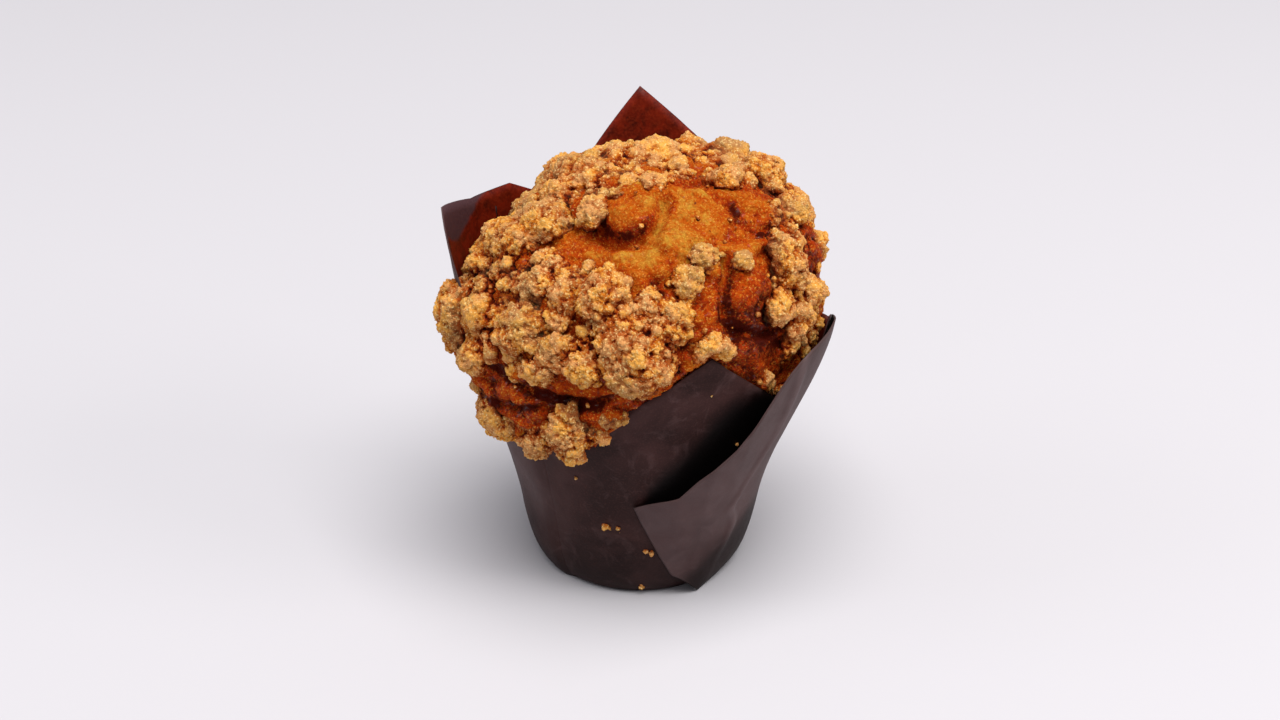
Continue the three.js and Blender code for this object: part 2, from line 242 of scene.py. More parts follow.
def closed_pleat(fold_line, merge, edge):
    """The sheet of one closed pleat. Its far end sinks into the wall of the cup."""
    def point(across, up):
        fold = along(fold_line, up)
        azimuth = fold + (merge - fold) * across
        height = PLEAT_FOOT + (along(edge, azimuth) - PLEAT_FOOT) * up
        lifted = PLEAT_LIFT * smooth_step(0, PLEAT_MERGE_SHARE, 1 - across) - PLEAT_SINK
        lifted += PLEAT_FOLD_RISE * (1 - across) ** 3
        middle = paper_inside(azimuth, height) + CASE_WALL + 0.3 * SHEET + lifted
        return polar(azimuth, middle + wrinkle(azimuth, height), height)

    return sheet_grid(PLEAT_CELLS, PLEAT_CELLS, point)


class Value:
    """A number that changes over a surface. Sums and products of it add Math nodes."""

    def __init__(self, nodes, socket):
        self.nodes = nodes
        self.socket = socket

    def maths(self, operation, first, second):
        return self.nodes.value("ShaderNodeMath", {"operation": operation}, {0: first, 1: second})

    def __add__(self, other):
        return self.maths("ADD", self, other)

    def __radd__(self, other):
        return self.maths("ADD", other, self)

    def __sub__(self, other):
        return self.maths("SUBTRACT", self, other)

    def __rsub__(self, other):
        return self.maths("SUBTRACT", other, self)

    def __mul__(self, other):
        return self.maths("MULTIPLY", self, other)

    def __rmul__(self, other):
        return self.maths("MULTIPLY", other, self)

    def between(self, low, high):
        """0 below low, 1 above high, straight between."""
        inputs = {"Value": self, "From Min": low, "From Max": high}
        return self.nodes.value("ShaderNodeMapRange", {"clamp": True}, inputs)


class Nodes:
    """A node tree, for a finish or a shape. Its noise goes by the place in the object's space."""

    def __init__(self, tree):
        self.tree = tree
        self.place = None

    def node(self, kind, settings, inputs):
        made = self.tree.nodes.new(kind)
        for name, value in settings.items():
            setattr(made, name, value)
        for name, value in inputs.items():
            self.feed(made.inputs[name], value)
        return made

    def value(self, kind, settings, inputs, output=0):
        return Value(self, self.node(kind, settings, inputs).outputs[output])

    def feed(self, socket, value):
        if isinstance(value, Value):
            value = value.socket
        if isinstance(value, bpy.types.NodeSocket):
            self.tree.links.new(value, socket)
        else:
            socket.default_value = value

    def grain(self, per_mm, detail=3.0, roughness=0.55, distortion=0.0):
        """Noise from 0 to 1, with so many waves in a millimetre."""
        inputs = {
            "Vector": self.place, "Scale": per_mm / MM, "Detail": detail,
            "Roughness": roughness, "Distortion": distortion,
        }
        return self.value("ShaderNodeTexNoise", {}, inputs, "Fac")

    def cells(self, per_mm):
        """The distance from the middle of the nearest of so many cells in a millimetre."""
        inputs = {"Vector": self.place, "Scale": per_mm / MM}
        return self.value("ShaderNodeTexVoronoi", {}, inputs, "Distance")


class Finish(Nodes):
    """One surface finish: a Principled shader with constants, and the nodes that feed it."""

    def __init__(self, name, **constants):
        self.material = bpy.data.materials.new(name)
        self.material.use_nodes = True
        super().__init__(self.material.node_tree)
        self.tree.nodes.clear()
        inputs = {key.replace("_", " "): value for key, value in constants.items()}
        self.shader = self.node("ShaderNodeBsdfPrincipled", {}, inputs)
        self.node("ShaderNodeOutputMaterial", {}, {"Surface": self.shader.outputs[0]})
        self.place = self.node("ShaderNodeTexCoord", {}, {}).outputs["Object"]

    def set(self, name, value):
        self.feed(self.shader.inputs[name], value)

    def cell_shade(self, per_mm):
        """A number from 0 to 1 that differs from cell to cell."""
        inputs = {"Vector": self.place, "Scale": per_mm / MM}
        made = self.node("ShaderNodeTexVoronoi", {}, inputs)
        return self.value("ShaderNodeSeparateColor", {}, {"Color": made.outputs["Color"]}, "Red")

    def painted(self, name):
        """A value that the mesh holds at each of its points."""
        return self.value("ShaderNodeAttribute", {"attribute_name": name}, {}, "Fac")

    def mix(self, share, first, second):
        settings = {"data_type": "RGBA", "clamp_factor": True}
        made = self.node("ShaderNodeMix", settings, {0: share, 6: first, 7: second})
        return made.outputs[2]

    def bump(self, height, distance_mm, strength=1.0):
        inputs = {"Height": height, "Distance": distance_mm * MM, "Strength": strength}
        made = self.node("ShaderNodeBump", {}, inputs)
        self.set("Normal", made.outputs["Normal"])


def colour(red, green, blue):
    """A colour given as seen on a screen, 0 to 255, as the shader wants it."""

    def linear(level):
        level /= 255
        return level / 12.92 if level <= 0.04045 else ((level + 0.055) / 1.055) ** 2.4

    return (linear(red), linear(green), linear(blue), 1.0)


IN_THE_DARK = colour(9, 4, 4)
DARK_PAPER, WORN_PAPER = colour(37, 15, 13), colour(60, 34, 32)
RUBBED, SHEEN, FIBRE = colour(96, 72, 72), colour(92, 74, 74), colour(92, 62, 58)
DRY_INSIDE, DRY_FIBRE = colour(58, 34, 38), colour(86, 58, 62)
SOAKED, SOAKED_LIGHT, SOAKED_FIBRE = colour(62, 8, 2), colour(118, 27, 7), colour(148, 54, 26)


def outer_paper():
    """The dry outside: matt dark brown with a faint fibre, paler rubs and darker greasy clouds."""
    paper = Finish("dry_parchment", Specular_IOR_Level=0.14)
    fibre = paper.grain(2.2, detail=5)
    cloud = paper.grain(0.07, detail=3, distortion=0.6)
    rub = paper.grain(0.16, detail=5, roughness=0.6, distortion=1.2).between(0.55, 0.75)
    base = paper.mix(cloud.between(0.35, 0.65), DARK_PAPER, WORN_PAPER)
    base = paper.mix(rub * 0.4, base, RUBBED)
    # Painted highlight: a paler grey sheen down the left of the cup and over the flap, brightest along
    # its crease.
    sheen = paper.painted("sheen") * (0.35 + 0.9 * paper.grain(0.12, detail=4, distortion=1.0))
    base = paper.mix(sheen, base, SHEEN)
    base = paper.mix(fibre.between(0.5, 0.8) * 0.3, base, FIBRE)
    # Painted shade: near black down in the open pleat and under the flap, and partly so towards the foot
    # of the cup.
    base = paper.mix(paper.painted("outside_shade"), base, IN_THE_DARK)
    paper.set("Base Color", base)
    paper.set("Roughness", 0.5 + 0.2 * fibre)
    paper.bump(fibre + 2.0 * paper.grain(0.35), 0.08, 0.6)
    return paper.material


def inner_paper():
    """The inside, soaked with butter to a redder, darker and glossier brown away from the tips."""
    paper = Finish("buttered_parchment", Specular_IOR_Level=0.12, Coat_Weight=0.03, Coat_Roughness=0.3)
    soak = paper.painted("soaked") + 0.7 * (paper.grain(0.12, detail=4) - 0.5)
    soak = soak.between(0.35, 0.6)
    fibre = paper.grain(1.6, detail=5)
    mottle = paper.grain(0.3, detail=4, distortion=0.5)
    dry = paper.mix(fibre, DRY_INSIDE, DRY_FIBRE)
    wet = paper.mix(mottle.between(0.3, 0.7), SOAKED, SOAKED_LIGHT)
    wet = paper.mix(fibre.between(0.45, 0.8) * 0.4, wet, SOAKED_FIBRE)
    base = paper.mix(soak, dry, wet)
    # Painted shade: the inner faces of the pleats, which lie between layers of paper, go near black.
    base = paper.mix(paper.painted("inside_shade"), base, IN_THE_DARK)
    paper.set("Base Color", base)
    paper.set("Roughness", 0.66 - 0.2 * soak)
    paper.bump(fibre + paper.grain(0.4), 0.08, 0.6)
    return paper.material


PAPER_OUTSIDE = outer_paper()
PAPER_INSIDE = inner_paper()


DRY_AZIMUTH, DRY_REACH, DRY_DEPTH = 262, 20, 12
SOAK_FADE = 3


def soaked(spot):
    """How far butter has crept into the paper here: everywhere but a margin along the left point."""
    azimuth = azimuth_of(spot) % 360
    below = around(EDGE_HEIGHT, azimuth, False) - spot.z / MM
    dry_margin = DRY_DEPTH * math.exp(-(((azimuth - DRY_AZIMUTH) / DRY_REACH) ** 2)) - SOAK_FADE
    return smooth_step(dry_margin - SOAK_FADE, dry_margin + SOAK_FADE, below)


POCKET_TOP = [(-2, 27), (0, 31), (4, 38), (10, 43), (15, 46), (22, 50), (27, 55), (35, 60), (66, 62)]
FOOT_SHADE = 0.4


def folded_under(spot):
    """Painted shade: 1 down in the open pleat, where hardly any light comes, and partly so towards the
    foot.
    """
    azimuth = azimuth_of(spot)
    fold = along(FOLD_LINE, spot.z / MM / FLAP_EDGE[0][1])
    covered = smooth_step(fold, fold + 5, azimuth) * (1 - smooth_step(76, 88, azimuth))
    top = along(POCKET_TOP, azimuth)
    foot = FOOT_SHADE * (1 - smooth_step(3, 34, spot.z / MM))
    return max(foot, covered * (1 - smooth_step(top - 8, top + 1, spot.z / MM)))


def under_flap(spot):
    """1 on the layer of the open pleat that lies under its flap."""
    azimuth = azimuth_of(spot)
    stands_off = math.hypot(spot.x, spot.y) / MM - paper_inside(azimuth, spot.z / MM) - CASE_WALL
    return (1 - smooth_step(0.2, 0.9, stands_off)) * (1 - smooth_step(28, 40, azimuth))


FLAP_DARK_TOP = [(16, 3), (24, 8), (40, 15), (60, 20)]
CORNER_SHADE = 0.75


def flap_shade(spot):
    """Painted shade: 1 under the flap, and nearly so at its lower right corner, which turns down away
    from the light.
    """
    azimuth = azimuth_of(spot)
    top = along(FLAP_DARK_TOP, azimuth)
    corner = (1 - smooth_step(top - 5, top + 3, spot.z / MM)) * smooth_step(12, 20, azimuth)
    return max(under_flap(spot), CORNER_SHADE * corner)


BAND_AZIMUTH, BAND_HEIGHT, BAND_LEAN, BAND_WIDTH = -62, 30, 0.5, 14
BAND_SHEEN = 0.9


def cup_sheen(spot):
    """Painted highlight: the grey sheen band down the left of the cup."""
    height = spot.z / MM
    away = (azimuth_of(spot) - BAND_AZIMUTH + BAND_LEAN * (height - BAND_HEIGHT)) / BAND_WIDTH
    return BAND_SHEEN * math.exp(-away * away) * smooth_step(12, 26, height)


FLAP_SHEEN = 0.72
CREASE_SHEEN = 0.7
CREASE_SHEEN_WIDTH = 1.8


def flap_sheen(spot):
    """The flap catches the light but at its dark lower right, most along its S-shaped crease."""
    azimuth, height = azimuth_of(spot), spot.z / MM
    from_crease = (azimuth - along(FLAP_CREASE, height)) / CREASE_SHEEN_WIDTH
    crease = CREASE_SHEEN * math.exp(-(from_crease**2))
    dark_corner = (1 - smooth_step(6, 26, height)) * smooth_step(14, 34, azimuth)
    return FLAP_SHEEN * (1 - dark_corner) + crease


def nowhere(spot):
    return 0.0


def everywhere(spot):
    return 1.0


def finish_paper(name, shape, outside_shade=nowhere, inside_shade=everywhere, sheen=nowhere):
    """Gives a sheet its thickness and both of its faces, and fixes it to the case."""
    piece = as_object(name, shape)
    mesh = piece.data
    mesh.materials.append(PAPER_OUTSIDE)
    mesh.materials.append(PAPER_INSIDE)
    layers = {
        "soaked": soaked, "sheen": sheen,
        "outside_shade": outside_shade, "inside_shade": inside_shade,
    }
    for label, painter in layers.items():
        layer = mesh.attributes.new(label, "FLOAT", "POINT")
        layer.data.foreach_set("value", [painter(vertex.co) for vertex in mesh.vertices])
    thickness = piece.modifiers.new("thickness", "SOLIDIFY")
    thickness.thickness = SHEET * MM
    thickness.offset = 0
    thickness.material_offset = 1
    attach(piece, "root")
    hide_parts("case")


finish_paper("case_cup", cup, folded_under, nowhere, cup_sheen)
finish_paper("case_open_pleat", flap, flap_shade, everywhere, flap_sheen)
for number, (fold_line, merge, edge) in enumerate(CLOSED_PLEATS, 1):
    shape = closed_pleat(fold_line, merge, edge)
    finish_paper(f"case_closed_pleat_{number}", shape, folded_under, everywhere, cup_sheen)

# Crust. The risen batter: pale gold where the crown stretched last, red-brown and glossy with
# butter and syrup down the right and round the skirt. It fills the cup and hangs over the
# paper's low edge at the front left.

WALL_GAP = 0.6
MUFFIN_BASE = 1.05
MUFFIN_HEEL = 1.0
RIM_HEIGHT = [
    (0, 54), (20, 58), (50, 50), (90, 56), (135, 50), (180, 56),
    (225, 56), (268, 56), (290, 47), (316, 42), (335, 44),
]
BELT_RADIUS = [
    (0, 39.2), (20, 37.8), (50, 38.6), (90, 41.2), (135, 39.8), (180, 38.5),
    (225, 37.6), (268, 39.2), (290, 42.4), (310, 42), (335, 41),
]
BELT_HEIGHT = [
    (0, 62), (20, 66), (50, 66), (90, 74), (135, 68), (180, 68),
    (225, 68), (268, 66), (285, 60), (310, 55), (335, 55),
]
CROWN_X, CROWN_Y, CROWN_HEIGHT = 4.0, 2.0, 98.0
DOME_FULLNESS = 2.35
DOME_MIDDLE = 0.56
LIP_SPAN = 10.0
LIP_BEND_OUT = 0.8
LIP_BEND_UP = 0.15
SPILL_FIRST = 275
SPILL_LAST = 355
# Risen and sunken places: azimuth, latitude, height and reach.
PUFFS = [
    (-12, 66, 4.2, 10), (-4, 52, -3, 4.5), (-30, 54, -2.6, 6), (10, 50, 1.5, 8),
    (64, 52, 3.4, 8), (38, 24, 3.4, 8), (38, 5, 2.4, 5.5), (46, 14, -2.2, 4),
    (24, 34, -1.2, 5), (-24, 3, -1.8, 6), (150, 40, 2.2, 10), (215, 35, 2, 11),
    (-106, 33, -4.5, 12),
]

# A slow swell and a ripple all over the top: height, waves along each axis and their shifts.
SWELL = {"height": 0.6, "along_x": 0.33, "shift_x": 0.9, "along_y": 0.29, "shift_y": 2.1}
RIPPLE = {"height": 0.5, "along_z": 0.52, "along_y": 0.4, "along_x": 0.47, "shift_x": 1.7}


def smooth_top(azimuth, latitude):
    """The form above the rim: latitude -10 to 0 is the lip, 0 to 90 the dome up to the crown."""
    rim = around(RIM_HEIGHT, azimuth)
    rim_radius = paper_inside(azimuth, rim) - WALL_GAP
    belt_radius = around(BELT_RADIUS, azimuth)
    belt_height = around(BELT_HEIGHT, azimuth)
    if latitude < 0:
        risen = 1 + latitude / LIP_SPAN
        bend_radius = rim_radius + LIP_BEND_OUT * (belt_radius - rim_radius)
        bend_height = rim + LIP_BEND_UP * (belt_height - rim)
        start, bend, end = (1 - risen) ** 2, 2 * risen * (1 - risen), risen * risen
        radius = start * rim_radius + bend * bend_radius + end * belt_radius
        return polar(azimuth, radius, start * rim + bend * bend_height + end * belt_height)
    angle = math.radians(min(latitude, 90))
    out = max(0.0, math.cos(angle)) ** (2 / DOME_FULLNESS)
    up = math.sin(angle) ** (2 / DOME_FULLNESS)
    lean = math.sin(angle) ** 2
    spot = polar(azimuth, belt_radius * out, belt_height + (CROWN_HEIGHT - belt_height) * up)
    return spot + Vector((CROWN_X, CROWN_Y, 0)) * lean


def outward(spot):
    """The direction away from a point low in the middle of the dome."""
    return Vector((spot.x, spot.y, spot.z - DOME_MIDDLE * CROWN_HEIGHT)).normalized()


PUFF_CENTRES = [smooth_top(azimuth, latitude) for azimuth, latitude, _, _ in PUFFS]


def crust_rise(spot):
    """How far the crust stands out here: the named puffs over the swell."""
    wave = math.sin(SWELL["along_x"] * spot.x + SWELL["shift_x"])
    rise = SWELL["height"] * wave * math.sin(SWELL["along_y"] * spot.y + SWELL["shift_y"])
    wave = math.sin(RIPPLE["along_z"] * spot.z + RIPPLE["along_y"] * spot.y)
    rise += RIPPLE["height"] * wave * math.sin(RIPPLE["along_x"] * spot.x + RIPPLE["shift_x"])
    for centre, (_, _, height, width) in zip(PUFF_CENTRES, PUFFS):
        away = (spot - centre).length / width
        rise += height * math.exp(-away * away)
    return rise


def held_by_paper(azimuth, spot):
    """Keeps a point of the crust inside the case, but for where the muffin hangs over it."""
    spills_over = SPILL_FIRST < azimuth % 360 < SPILL_LAST
    if spills_over or spot.z > around(EDGE_HEIGHT, azimuth, False) + CASE_WALL:
        return spot
    radius = math.hypot(spot.x, spot.y)
    share = min(1.0, (paper_inside(azimuth, spot.z) - WALL_GAP) / radius)
    return Vector((spot.x * share, spot.y * share, spot.z))


def crust_point(azimuth, latitude):
    """A point of the top of the muffin with its puffs, as in the solid."""
    spot = smooth_top(azimuth, latitude)
    share = smooth_step(-LIP_SPAN, 0, latitude)
    spot += outward(spot) * crust_rise(spot) * share
    return held_by_paper(azimuth, spot)


CRUST_COLUMNS = 380
CRUST_ROWS = 250
DOME_SHARE = 0.7
LIP_SHARE = 0.8
WALL_SHARE = 0.97
DEEPEST = 2.6
CRAG, CRAG_WAVES = 0.5, 0.19
PIT_DEPTH, PIT_WAVES = 0.25, 0.5
LAYER_HEIGHT, LAYER_WAVES, LAYER_WANDER = 0.6, 1.25, 2.6
SKIRT_LOW, SKIRT_HIGH = 50, 64
WANDER, WANDER_WAVES = 1.2, 0.2
# Small puffs: height, waves in a millimetre, the level that the crust sinks to, and how bent.
SMALL_PUFFS = [(2.2, 0.15, 0.22, 0.1), (1.3, 0.34, 0.2, 0.2), (0.6, 0.75, 0.2, 0.0)]

# Cracks between the risen puffs, each a run of azimuths and latitudes with its depth and width.
CREVICES = [
    ([(-34, 62), (-28, 58), (-20, 56), (-9, 55), (-2, 57), (3, 61), (7, 66), (8, 70)], 3.4, 1.9),
    ([(33, 40), (30, 30), (28, 22), (28, 17), (32, 12), (38, 9), (48, 6), (56, 6)], 2.6, 1.2),
    ([(55, 62), (48, 52), (52, 45), (62, 43)], 1.6, 1.2),
    ([(3, 37), (7, 29), (10, 21), (13, 12)], 1.5, 1.5),
    ([(30, 30), (21, 36), (12, 38), (6, 46), (2, 52)], 1.2, 1.2),
    ([(48, 6), (52, 16), (56, 26), (55, 36)], 1.6, 1.1),
    ([(-35, 24), (-27, 20), (-20, 20), (-14, 24)], 1.5, 1.4),
    ([(-66, 8), (-49, 7), (-36, 5), (-25, 4), (-13, 1)], 1.8, 1.2),
    ([(-66, -3), (-50, -1), (-35, 1), (-23, 1), (-9, 2)], 1.6, 1.1),
]
CREVICE_LINES = [
    ([crust_point(azimuth, latitude) for azimuth, latitude in run], depth, width)
    for run, depth, width in CREVICES
]


def cracked(spot):
    """How deep the cracks cut here: 0 away from them, 1 in the middle of the deepest."""
    deepest = 0.0
    for run, depth, width in CREVICE_LINES:
        for start, end in zip(run, run[1:]):
            if (start - spot).length > (end - start).length + 4 * width:
                continue
            step = end - start
            share = max(0.0, min(1.0, (spot - start).dot(step) / step.length_squared))
            away = (start + step * share - spot).length / width
            deepest = max(deepest, depth / DEEPEST * math.exp(-away * away))
    return deepest


def crag(spot):
    """The fine relief of the crust: small craters and ridges, and layers round the skirt."""
    along_x = noise.noise(spot * WANDER_WAVES)
    along_y = noise.noise(spot * WANDER_WAVES + Vector((9, 0, 0)))
    wander = Vector((along_x, along_y, 0)) * WANDER
    relief = CRAG * noise.fractal(spot * CRAG_WAVES, 1.0, 2.1, 5)
    relief -= PIT_DEPTH * noise.turbulence(spot * PIT_WAVES, 3, False)
    skirt = 1 - smooth_step(SKIRT_LOW, SKIRT_HIGH, spot.z)
    layers = math.sin(spot.z * LAYER_WAVES + LAYER_WANDER * noise.noise(spot * 0.12))
    relief += LAYER_HEIGHT * skirt * layers
    for height, waves, sunk, bent in SMALL_PUFFS:
        relief += height * (abs(noise.noise(spot * waves + wander * bent)) - sunk)
    return relief - DEEPEST * cracked(spot + wander)


def crust_spot(azimuth, share):
    """A point of the crust by its share of the way from the crown to the middle of the base."""
    if share <= DOME_SHARE:
        latitude = 90 * (1 - share / DOME_SHARE)
    elif share <= LIP_SHARE:
        latitude = -LIP_SPAN * (share - DOME_SHARE) / (LIP_SHARE - DOME_SHARE)
    else:
        rim = around(RIM_HEIGHT, azimuth)
        low = MUFFIN_BASE + MUFFIN_HEEL
        if share <= WALL_SHARE:
            height = rim + (low - rim) * (share - LIP_SHARE) / (WALL_SHARE - LIP_SHARE)
            return polar(azimuth, paper_inside(azimuth, height) - WALL_GAP, height)
        left = (1 - share) / (1 - WALL_SHARE)
        return polar(azimuth, left * (paper_inside(azimuth, low) - WALL_GAP), MUFFIN_BASE)
    spot = crust_point(azimuth, latitude)
    fade = smooth_step(-LIP_SPAN, -0.5 * LIP_SPAN, latitude)
    return held_by_paper(azimuth, spot + outward(spot) * crag(spot) * fade)


crust = bmesh.new()
bmesh.ops.create_uvsphere(crust, u_segments=CRUST_COLUMNS, v_segments=CRUST_ROWS, radius=1)
for vertex in crust.verts:
    turn = math.degrees(math.atan2(vertex.co.x, -vertex.co.y)) % 360
    vertex.co = crust_spot(turn, math.acos(max(-1, min(1, vertex.co.z))) / math.pi) * MM
bmesh.ops.recalc_face_normals(crust, faces=crust.faces)
crust_piece = as_object("crust", crust)

# Where the oven and the syrup coloured it: azimuth, latitude, reach and strength of each patch.
OPEN_PATCHES = [(8, 56, 17, 1.0), (30, 40, 14, 0.8), (-35, 55, 9, 0.7), (66, 56, 10, 0.6)]
PALE_PATCHES = [
    (4, 54, 5, 0.7), (11, 58, 5, 0.7), (4, 46, 5, 0.4), (-6, 68, 5, 0.4), (22, 62, 6, 0.4),
    (30, 70, 7, 0.3), (-2, 72, 5, 0.4), (16, 42, 6, 0.3),
]
DARK_PATCHES = [
    (40, 17, 8, 0.7), (46, 6, 12, 1.0), (-28, 2, 14, 0.3), (-52, -2, 12, 0.3),
    (14, 22, 7, 0.6), (70, 16, 12, 0.8), (62, 56, 6, 0.3), (-92, 52, 8, 0.5),
    (8, 30, 6, 0.4), (96, 30, 12, 0.5), (-60, 8, 10, 0.2),
]

# Browning, with painted shade: the level away from any patch, and how much open crown, patches,
# cracks and puffs change it. Cracks darken it as painted shade.
PLAIN_LEVEL = 0.72
OPEN_PALER = 0.3
PATCH_SHARE = 0.42
CRACK_DARKER = 0.9
PUFF_PALER = 0.3
DIP_LIMIT, PUFF_LIMIT = -1.2, 1.0


def patch_centres(patches):
    """The patches with a place on the crust instead of the two angles."""
    return [(smooth_top(azimuth, latitude), *reach) for azimuth, latitude, *reach in patches]


def patch_strength(centres, spot):
    """How strongly the patches of one kind colour this place."""
    total = 0.0
    for centre, reach, strength in centres:
        away = (centre - spot).length / reach
        total += strength * math.exp(-away * away)
    return total


OPEN_CENTRES = patch_centres(OPEN_PATCHES)
PALE_CENTRES = patch_centres(PALE_PATCHES)
DARK_CENTRES = patch_centres(DARK_PATCHES)


def browning_and_shade(spot):
    """0 is pale gold, 0.5 orange-brown and 1 the dark glossy skirt; cracks darken it with painted shade.
    """
    level = PLAIN_LEVEL - OPEN_PALER * min(1.0, patch_strength(OPEN_CENTRES, spot))
    level += PATCH_SHARE * patch_strength(DARK_CENTRES, spot)
    level -= PATCH_SHARE * patch_strength(PALE_CENTRES, spot)
    return level + CRACK_DARKER * cracked(spot)


def paint_browning_and_shade(mesh):
    """Browning by place, with painted shade: darker where the crust dips than on the puffs beside it."""
    levels = []
    for vertex in mesh.vertices:
        spot = vertex.co / MM
        puffed = max(DIP_LIMIT, min(PUFF_LIMIT, crag(spot)))
        levels.append(browning_and_shade(spot) - PUFF_PALER * puffed)
    mesh.attributes.new("browning_and_shade", "FLOAT", "POINT").data.foreach_set("value", levels)


paint_browning_and_shade(crust_piece.data)


PALE_GOLD, ORANGE_BROWN = colour(222, 160, 54), colour(208, 96, 12)
RED_BROWN, DARK_SKIRT = colour(186, 58, 6), colour(80, 16, 3)
SUGAR_SPECK = colour(255, 190, 80)


def baked_crust():
    """Sugary, buttery crust, speckled from mustard gold to dark red-brown."""
    baked = Finish("baked_crust", Specular_IOR_Level=0.05, Coat_Roughness=0.15)
    sandy = baked.grain(1.2, detail=4, roughness=0.8)
    level = baked.painted("browning_and_shade") + 1.2 * (baked.grain(0.22, detail=4) - 0.5)
    level = level + 1.5 * (sandy - 0.5) + 0.2 * (baked.cell_shade(1.4) - 0.5)
    gold = baked.mix(level.between(-0.2, 0.35), PALE_GOLD, ORANGE_BROWN)
    red = baked.mix(level.between(0.75, 1.2), RED_BROWN, DARK_SKIRT)
    base = baked.mix(level.between(0.35, 0.75), gold, red)
    speck = baked.grain(2.2, detail=2).between(0.56, 0.66) * (1.0 - level.between(0.6, 1.3))
    baked.set("Base Color", baked.mix(speck * 0.55, base, SUGAR_SPECK))
    wet = level.between(0.5, 1.0)
    glint = baked.grain(0.8, detail=2).between(0.56, 0.62)
    baked.set("Roughness", 0.66 - 0.2 * wet)
    baked.set("Coat Weight", glint * (0.08 + 0.3 * wet))
    pebbles = 1.0 - baked.cells(1.2)
    baked.bump(sandy + 0.3 * pebbles, 1.3)
    return baked.material


crust_piece.data.materials.append(baked_crust())
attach(crust_piece, "root")
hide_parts("muffin")

# Crumb topping. Butter, flour and sugar rubbed into grains that bake together in knobbly
# clumps: thick on the left and over the back, scattered on the right, bare on the crown.

# Azimuth, latitude, half width, half length, half rise and turn of the clumps that stand out.
LARGE_CRUMBS = [
    (-2, 14, 8, 11.5, 4.6, 10), (-80, 4, 7.5, 12, 6.2, 0), (-16, 36, 6.5, 5.5, 3.6, 30),
    (-98, 68, 8.5, 5.5, 3.4, 20), (-170, 80, 8.5, 5.5, 3.4, 10), (104, 55, 6.5, 5, 4.4, 0),
    (-42, 22, 6.5, 5.5, 3.8, 40), (-60, 54, 7, 5, 3.6, 15), (-24, -2, 8, 4, 3.6, 80),
    (-58, -7, 8, 6, 4.4, 60), (62, 28, 4, 7.5, 3.6, 0), (-78, 38, 6, 5.5, 3.6, 10),
    (24, 6, 5.5, 4.5, 3.4, 20), (10, 22, 5, 5.5, 3.2, 0),
]
MIDDLE_CRUMBS = [
    (24, 43, 4, 3.2, 2.6, 10), (16, 34, 4.4, 3.4, 2.8, 50), (74, 70, 4.5, 3.6, 2.8, 0),
    (-38, 63, 4.6, 3.6, 2.8, 20), (-64, 44, 5, 4, 3, 0), (38, 37, 2.4, 2.4, 2.4, 0),
    (54, 14, 4.5, 4, 3, 30), (74, 4, 4, 4, 3, 0), (-33, 12, 4.4, 3.8, 3, 15),
    (-28, 18, 4.8, 4.4, 3, 70), (96, 8, 4.5, 4.5, 3, 0), (-30, 34, 4.6, 4, 3, 0),
    (62, 0, 4, 4.5, 3, 10), (-42, 36, 5, 3.8, 3, 60), (6, 1, 4.5, 4, 3, 0),
    (-18, 14, 4, 4.6, 3, 20), (2, 30, 4, 3.6, 2.6, 0), (-62, 18, 5, 4.6, 3.4, 30),
    (-60, 6, 4.6, 5, 3.4, 0), (40, -4, 4, 3.4, 2.6, 0), (-8, 78, 4, 3, 2.2, 20),
    (84, 40, 4.4, 4, 3, 0), (-38, -6, 5, 3.6, 3, 70), (-76, 62, 5, 4, 3, 0),
]
# The clumps spread evenly over the sides and the back.
SPREAD_CRUMBS = 28
SPREAD_FIRST = 104
SPREAD_LAST = 262
SPREAD_SMALLEST = 3
SPREAD_RANGE = 2.6
SPREAD_FLATNESS = 0.68
SPREAD_LOWEST = -0.14
SPREAD_HIGHEST = 0.96
SPREAD_SHORTEST = 0.85
SPREAD_LONGER = 0.5
GOLDEN_SHARE = 0.618034


def draw(i, k):
    """The same draw from 0 to 1 each time for a pair of whole numbers."""
    wave = math.sin(i * 127.1 + k * 311.7) * 43758.5453
    return wave - math.floor(wave)


def spread_crumb(i):
    share = (i + 0.5) / SPREAD_CRUMBS
    azimuth = SPREAD_FIRST + (SPREAD_LAST - SPREAD_FIRST) * ((i * GOLDEN_SHARE) % 1)
    height = SPREAD_LOWEST + (SPREAD_HIGHEST - SPREAD_LOWEST) * share
    latitude = math.degrees(math.asin(height))
    size = SPREAD_SMALLEST + SPREAD_RANGE * draw(i, 1)
    length = size * (SPREAD_SHORTEST + SPREAD_LONGER * draw(i, 2))
    return (azimuth, latitude, size, length, size * SPREAD_FLATNESS, 180 * draw(i, 3))


SEAT_STEP = 1.5


def seat(azimuth, latitude):
    """A place on the crust with its directions sideways, up the slope and out."""
    centre = crust_point(azimuth, latitude)
    east = (crust_point(azimuth + SEAT_STEP, latitude) - centre).normalized()
    north = (crust_point(azimuth, latitude + SEAT_STEP) - centre).normalized()
    normal = east.cross(north).normalized()
    return centre, east, normal.cross(east), normal


